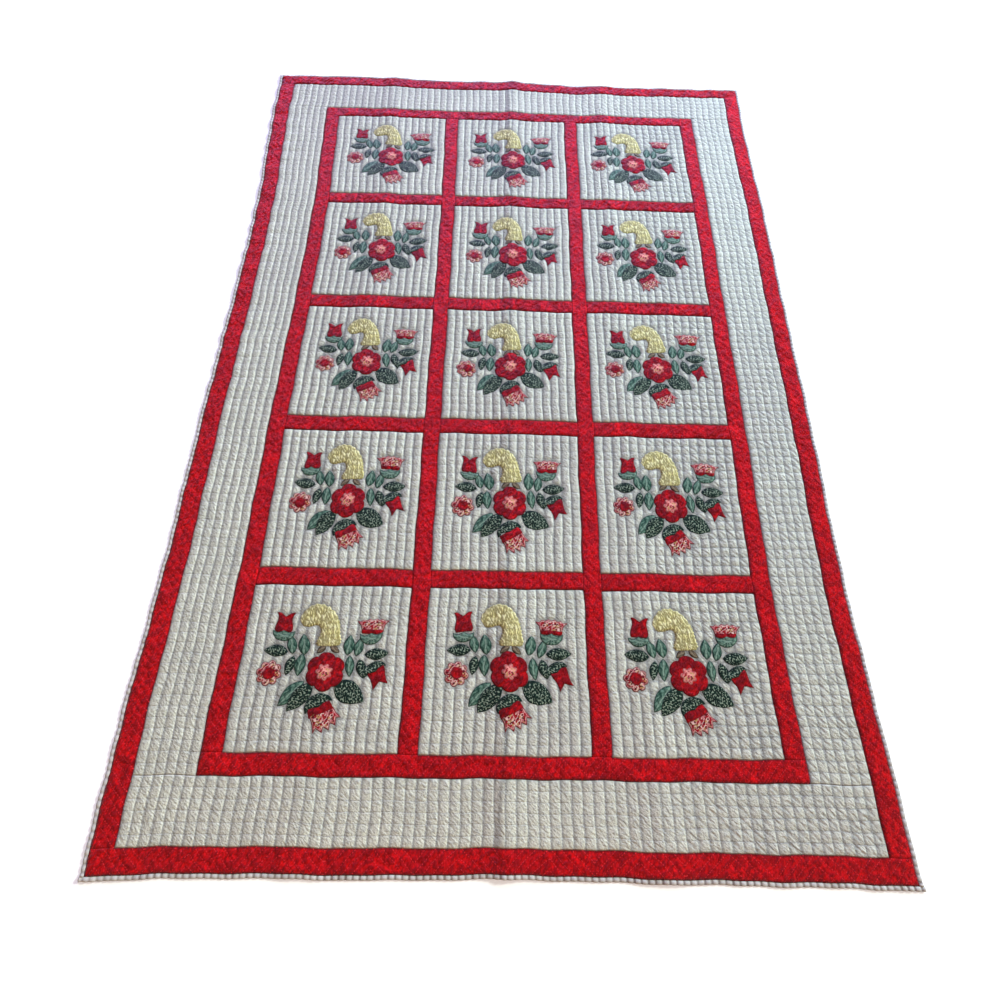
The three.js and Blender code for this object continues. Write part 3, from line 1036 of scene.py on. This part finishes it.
def binding_cotton():
    """White binding with painted shade in the puckers at its stitches, weaker at the left."""
    f = Finish("binding_cotton")
    place = f.place()
    mottle = f.noise(place, 40.0, 2.0)
    # The painted shade in the puckers is weaker at the left.
    left_weaker_shade = f.axes(place)[0].step(-0.80, -0.68) * 0.55 + 0.45
    strong = (f.noise(place, 9.0).step(0.35, 0.65) * 0.35 + 0.55) * left_weaker_shade
    tone = f.layers(
        f.mix(mottle.step(0.3, 0.7), (0.66, 0.63, 0.575), (0.55, 0.52, 0.475)),
        (f.value("dip").step(0.15, 0.85) * strong, (0.20, 0.155, 0.14)),
    )
    return f.cloth(tone, mottle * 0.5 + weave(f, place) * 0.06, 0.0007, mottle * 0.1 + 0.85)


def leaf_green(name, dark, light, vein):
    """Plain green leaves, paler along the middle fold."""
    f = Finish(name)
    cut = f.cut()
    streak = f.noise(f.scaled(cut, (90, 220, 1)), 1.0, 2.0)
    rib = (1 - f.value("rib").step(0.0002, 0.0028)) * f.noise(cut, 180.0).step(0.3, 0.6)
    tone = f.layers(
        f.mix(streak.step(0.36, 0.64), dark, light),
        (f.noise(cut, 110.0, 2.0).step(0.45, 0.7) * 0.7, [c * 0.4 for c in dark]),
        (rib * 0.7, vein),
        (f.rim() * 0.9, [c * 0.3 for c in dark]),
    )
    height = streak + weave(f, f.place()) * 0.06 - rib * 0.5
    return f.cloth(tone, height, 0.0006, streak * 0.1 + 0.58, specular=0.3)


def leaf_speckled():
    """Dark green print with irregular pale flecks."""
    f = Finish("leaf_speckled")
    cut = f.cut()
    speck = f.noise(f.scaled(cut, (290, 190, 1), 35), 1.0, 1.5).step(0.53, 0.61)
    blot = f.noise(cut, 160.0, 2.0)
    tone = f.layers(
        f.mix(blot.step(0.35, 0.7), (0.001, 0.008, 0.004), (0.006, 0.030, 0.017)),
        (speck * 0.9, (0.33, 0.41, 0.29)),
        (f.rim() * 0.9, (0.003, 0.012, 0.009)),
    )
    height = blot * 0.6 + weave(f, f.place()) * 0.06
    return f.cloth(tone, height, 0.0006, blot * 0.1 + 0.58, specular=0.3)


def horn_cotton():
    """Pale yellow cloth, crumpled by its gathers, with painted shade in their creases."""
    f = Finish("horn_cotton")
    cut = f.cut()
    gather = (f.noise(f.scaled(cut, (120, 52, 1), 14), 1.0, 1.5) * 2 - 1).size()
    fine = f.noise(f.scaled(cut, (300, 210, 1), -30), 1.0, 2.0)
    tone = f.layers(
        f.mix(f.noise(cut, 60.0).step(0.35, 0.65), (0.90, 0.84, 0.46), (0.78, 0.70, 0.30)),
        (fine.step(0.50, 0.66) * 0.65, (0.34, 0.27, 0.08)),
        # Painted shade in the creases of the gathers and along the gather marks.
        ((1 - gather.step(0.0, 0.24)) * 0.75, (0.20, 0.16, 0.04)),
        (f.value("rib").step(0.6, 1.0) * 0.15, (0.34, 0.27, 0.09)),
        (f.rim(end=0.002) * 0.35, (0.42, 0.35, 0.14)),
    )
    height = gather.step(0.0, 0.6) + fine * 0.3 + weave(f, f.place()) * 0.04
    return f.cloth(tone, height, 0.0018, fine * 0.1 + 0.62)


# Prints: ground in two tones, share of the figures left out, strength of the dark edge
STREWN = ((0.82, 0.58, 0.48), (0.58, 0.19, 0.19), 0.1, 0.95)
PALE = ((0.90, 0.38, 0.31), (0.66, 0.16, 0.15), 0.42, 0.5)


def print_cotton(name, ground):
    """Small print: pale ground strewn with red and dark figures, with a dark turned edge."""
    f = Finish(name)
    cream, pink, left_out, edge = ground
    cut = f.cut()
    strewn = f.scaled(cut, (1, 1.25, 1), 25)
    blots = f.cells(strewn, 250.0, "Distance")
    kind = f.axes(f.cells(strewn, 250.0, "Color"))
    shape = (1 - blots.step(0.58, 0.74)) * f.value("inset").step(0.0026, 0.0044)
    tone = f.layers(
        f.mix(f.noise(cut, 90.0).step(0.4, 0.6), cream, pink),
        (shape * kind[0].step(left_out, left_out + 0.1), (0.34, 0.008, 0.015)),
        (shape * kind[1].step(left_out + 0.45, left_out + 0.53) * 0.9, (0.08, 0.006, 0.010)),
        (shape * kind[2].step(0.84, 0.9) * 0.7, (0.62, 0.40, 0.14)),
        (f.rim(0.0014, 0.0032) * edge, (0.15, 0.004, 0.009)),
    )
    return f.cloth(tone, blots * 0.2 + weave(f, f.place()) * 0.06, 0.0006, kind[0] * 0.06 + 0.6)


def thread(name, colour):
    """Cotton sewing thread with a fine twist."""
    f = Finish(name)
    x, y, _ = f.axes(f.place())
    twist = ((x + y) * TWIST).sine()
    fuzz = f.noise(f.place(), 900.0, 1.0)
    tone = f.mix(fuzz, [c * 0.8 for c in colour], colour)
    return f.cloth(tone, twist * 0.3, 0.0001, fuzz * 0.1 + 0.75)


# Sew the quilt
pieces = {}
SEED = 1931
deal = np.random.default_rng(SEED)


def keep(piece, x0, x1, y0, y1):
    """Notes a piece by its name; its size as cut is worked out but not kept."""
    pieces[piece.name] = piece
    x1 - x0
    y1 - y0


cuts = {cloth: Cuts() for cloth in ("leaves", "petals", "prints", "horns")}
BINS = {
    "leaf_green": ("leaves", 0), "leaf_speckled": ("leaves", 1), "leaf_olive": ("leaves", 2),
    "petal": ("petals", 0), "print": ("prints", 0), "pale_print": ("prints", 1), "horn": ("horns", 0),
}  # where the patches of a cloth are collected, and its place among the finishes there

# How far each bouquet sits right of and above the middle of its block, in mm, from the head down
SET_OFF = [
    [(8, -3), (4, -5), (4, -6)],
    [(7, 0), (9, -5), (3, -2)],
    [(10, 1), (3, -4), (7, 2)],
    [(7, -1), (5, -1), (5, 2)],
    [(6, -3), (7, 2), (2, 0)],
]


def sewn_bouquet(middle, sway):
    """Patches of the block about a middle, in plan metres, with their cloth collected."""
    patches = []
    tilt = deal.normal(0, 0.5)

    def put(chart):
        return (turned(chart, tilt) + sway) * MM + middle

    for patch in bouquet(deal):
        outline = put(patch.outline)
        if twice_area(outline) < 0:
            outline = outline[::-1]
        lattice = None if patch.lattice is None else put(patch.lattice)
        placed = patch._replace(
            outline=outline, core=put(patch.core[None])[0], lattice=lattice,
            angle=patch.angle + math.radians(tilt),
        )
        cloth, kind = BINS[patch.cloth]
        cuts[cloth].add(placed, patches, kind, deal)
        patches.append(placed)
    return patches


for r in range(ROWS):
    for c in range(COLUMNS):
        x0 = c * PITCH - HALF_BLOCKS[0]
        y1 = HALF_BLOCKS[1] - r * PITCH
        rect = (x0, x0 + BLOCK, y1 - BLOCK, y1)
        label = f"r{r + 1}_c{c + 1}"
        sewn = sewn_bouquet(np.array([x0 + BLOCK / 2, y1 - BLOCK / 2]), SET_OFF[r][c])
        keep(white_sheet("block_" + label + "_cloth", *rect, deal, sewn), *rect)
        if r < ROWS - 1:
            rect = (x0, x0 + BLOCK, y1 - PITCH, y1 - BLOCK)
            joined = {"left": throughout, "right": throughout}
            keep(red_sheet("sash_" + label + "_cloth", *rect, deal, joined, True), *rect)

for side, x in (("left", -PITCH / 2), ("right", PITCH / 2)):
    rect = (x - SASH / 2, x + SASH / 2, -HALF_BLOCKS[1], HALF_BLOCKS[1])
    joined = {"low": throughout, "high": throughout, "left": at_rows, "right": at_rows}
    keep(red_sheet(f"sash_{side}_cloth", *rect, deal, joined), *rect)


def ring_of(label, inner, outer, make):
    """Four strips of one ring: the sides stop at the ends, which run the full width."""
    rects = {
        "left": (-outer[0], -inner[0], -inner[1], inner[1]),
        "right": (inner[0], outer[0], -inner[1], inner[1]),
        "foot": (-outer[0], outer[0], -outer[1], -inner[1]),
        "head": (-outer[0], outer[0], inner[1], outer[1]),
    }

    def corners(x):
        return np.abs(x) > inner[0]

    inmost = label == "frame"
    ends = {"low": throughout, "high": throughout}
    joined = {
        "left": {**ends, "right": at_rows} if inmost else ends,
        "right": {**ends, "left": at_rows} if inmost else ends,
        "foot": {"high": at_columns if inmost else corners},
        "head": {"low": at_columns if inmost else corners},
    }
    for side, rect in rects.items():
        settings = {} if make is white_sheet else {"chevron": side in ("foot", "head")}
        keep(make(f"{label}_{side}_cloth", *rect, deal, joined=joined[side], **settings), *rect)


ring_of("frame", HALF_BLOCKS, HALF_FRAME, red_sheet)
ring_of("border", HALF_FRAME, HALF_BORDER, white_sheet)
ring_of("band", HALF_BORDER, HALF_BAND, red_sheet)

reach = HALF_BAND[1] - SLIT
for side, sign in (("left", -1), ("right", 1)):
    roll = binding_roll(f"binding_{side}_cloth", -reach, reach, HALF_BAND[0], sign, True, deal)
    keep(roll, 0, BINDING_CUT, -reach, reach)
reach = HALF_QUILT[0]
for side, sign in (("foot", -1), ("head", 1)):
    roll = binding_roll(f"binding_{side}_cloth", -reach, reach, HALF_BAND[1], sign, False, deal)
    keep(roll, -reach, reach, 0, BINDING_CUT)

# Dress the pieces
finish_of = {"white_cotton": white_cotton(), "red_cotton": red_cotton(), "binding_cotton": binding_cotton()}
slot_of = {"block": "white_cotton", "border": "white_cotton", "binding": "binding_cotton"}  # else red
for name, piece in pieces.items():
    slot = slot_of.get(name.split("_")[0], "red_cotton")
    piece.data.materials.append(finish_of[slot])
    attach(piece, "root")
    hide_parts(name.removesuffix("_cloth"))

# Cloths of the patches: slot, finishes, colour of the thread
CLOTHS = {
    "leaves": ("leaf_cotton", [
        leaf_green("leaf_green", (0.014, 0.056, 0.036), (0.175, 0.310, 0.215), (0.36, 0.48, 0.36)),
        leaf_speckled(),
        leaf_green("leaf_olive", (0.075, 0.053, 0.030), (0.275, 0.190, 0.112), (0.32, 0.27, 0.17)),
    ], (0.05, 0.16, 0.12)),
    "petals": ("red_cotton", [red_cotton("petal_cotton", False)], (0.42, 0.01, 0.02)),
    "prints": ("print_cotton", [
        print_cotton("print_cotton", STREWN), print_cotton("pale_print", PALE),
    ], (0.40, 0.05, 0.06)),
    "horns": ("horn_cotton", [horn_cotton()], (0.62, 0.52, 0.20)),
}
sewing = stitch_tree()

# Stitches along the rims of the patches and along the binding
HEM = {"Pitch": 0.0062, "Length": 0.0021, "Thickness": 0.00045, "Slant": 1.2, "Unevenness": 0.25}
TICKS = {"Pitch": TICK, "Length": 0.0034, "Thickness": 0.0007, "Slant": 1.1, "Unevenness": 0.3}

for number, (cloth, (slot, finishes, colour)) in enumerate(CLOTHS.items()):
    cut = cuts[cloth]
    piece = cut.piece(cloth)
    for finish in finishes:
        piece.data.materials.append(finish)
    sewn_with = thread(cloth + "_thread", colour)
    stitches = sew_along(cloth + "_stitches", cut.hems, True, sewing, sewn_with, Seed=number, **HEM)
    for made in (piece, stitches):
        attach(made, "root")

white_thread = thread("white_thread", (0.62, 0.61, 0.57))
for number, (name, line) in enumerate(binding_seams.items()):
    label = name.replace("cloth", "stitches")
    stitches = sew_along(label, [line], False, sewing, white_thread, Seed=20 + number, **TICKS)
    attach(stitches, "root")
for name, piece in pieces.items():
    not name.startswith("binding")

# Floor, light and camera
FLOOR_HALF = 9.0
FLOOR_LEVEL = -0.0004  # just under the quilt
square = [(x * FLOOR_HALF, y * FLOOR_HALF, FLOOR_LEVEL) for x, y in ((-1, -1), (1, -1), (1, 1), (-1, 1))]
floor = new_piece("floor", square, [(0, 1, 2, 3)])
pale = Finish("pale_floor")
veil = pale.noise(pale.place(), 3.0, 2.0)
paper = pale.wire("ShaderNodeBsdfPrincipled", "BSDF", None, {
    "Base Color": pale.mix(veil, (0.93, 0.93, 0.93), (0.95, 0.95, 0.95)), "Roughness": 0.9,
    "Specular IOR Level": 0.1, "Emission Color": (1, 1, 1, 1), "Emission Strength": 0.35,
})
pale.node("ShaderNodeOutputMaterial", None, {"Surface": paper})
floor.data.materials.append(pale.material)

scene = bpy.context.scene
scene.view_settings.view_transform = "Standard"
scene.view_settings.look = "None"
world = bpy.data.worlds.new("soft_room")
world.use_nodes = True
sky = world.node_tree.nodes["Background"]
sky.inputs["Color"].default_value = (1.0, 0.99, 0.97, 1)
sky.inputs["Strength"].default_value = 0.24
scene.world = world


def lamp(name, kind, place, aim, energy, colour, glossy=False, **settings):
    """Lamp at a place that shines towards its aim."""
    light = bpy.data.lights.new(name, kind)
    light.energy, light.color = energy, colour
    for key, value in settings.items():
        setattr(light, key, value)
    holder = linked(name, light)
    holder.location = place
    holder.visible_glossy = glossy
    back = holder.location - type(holder.location)(aim)
    holder.rotation_euler = back.to_track_quat("Z", "Y").to_euler()


lamp("key_from_right", "SUN", (3.7, 2.0, 1.95), (0, 0, 0), 3.2, (0.90, 0.99, 0.94), angle=math.radians(10))
lamp("cool_far_window", "AREA", (-0.1, 4.2, 1.7), (0.1, 0.6, 0), 176, (0.42, 0.36, 1.0),
     glossy=True, shape="RECTANGLE", size=4.5, size_y=2.2)
lamp("cool_side_window", "AREA", (2.1, 1.3, 1.0), (0.7, 0.7, 0), 60, (0.55, 0.78, 1.0),
     shape="RECTANGLE", size=1.2, size_y=0.8)
lamp("warm_near_lamp", "AREA", (0.0, -2.6, 1.5), (0, -1.0, 0), 10, (0.95, 0.30, 0.02),
     shape="RECTANGLE", size=2.0, size_y=0.8)

view = bpy.data.cameras.new("camera")
view.sensor_width = 36
view.lens = 20.673
view.clip_end = 100
camera = linked("camera", view)
camera.location = (-0.0451, -0.8945, 1.3007)
camera.rotation_euler = [math.radians(a) for a in (21.773, -1.278, 0.812)]
scene.camera = camera
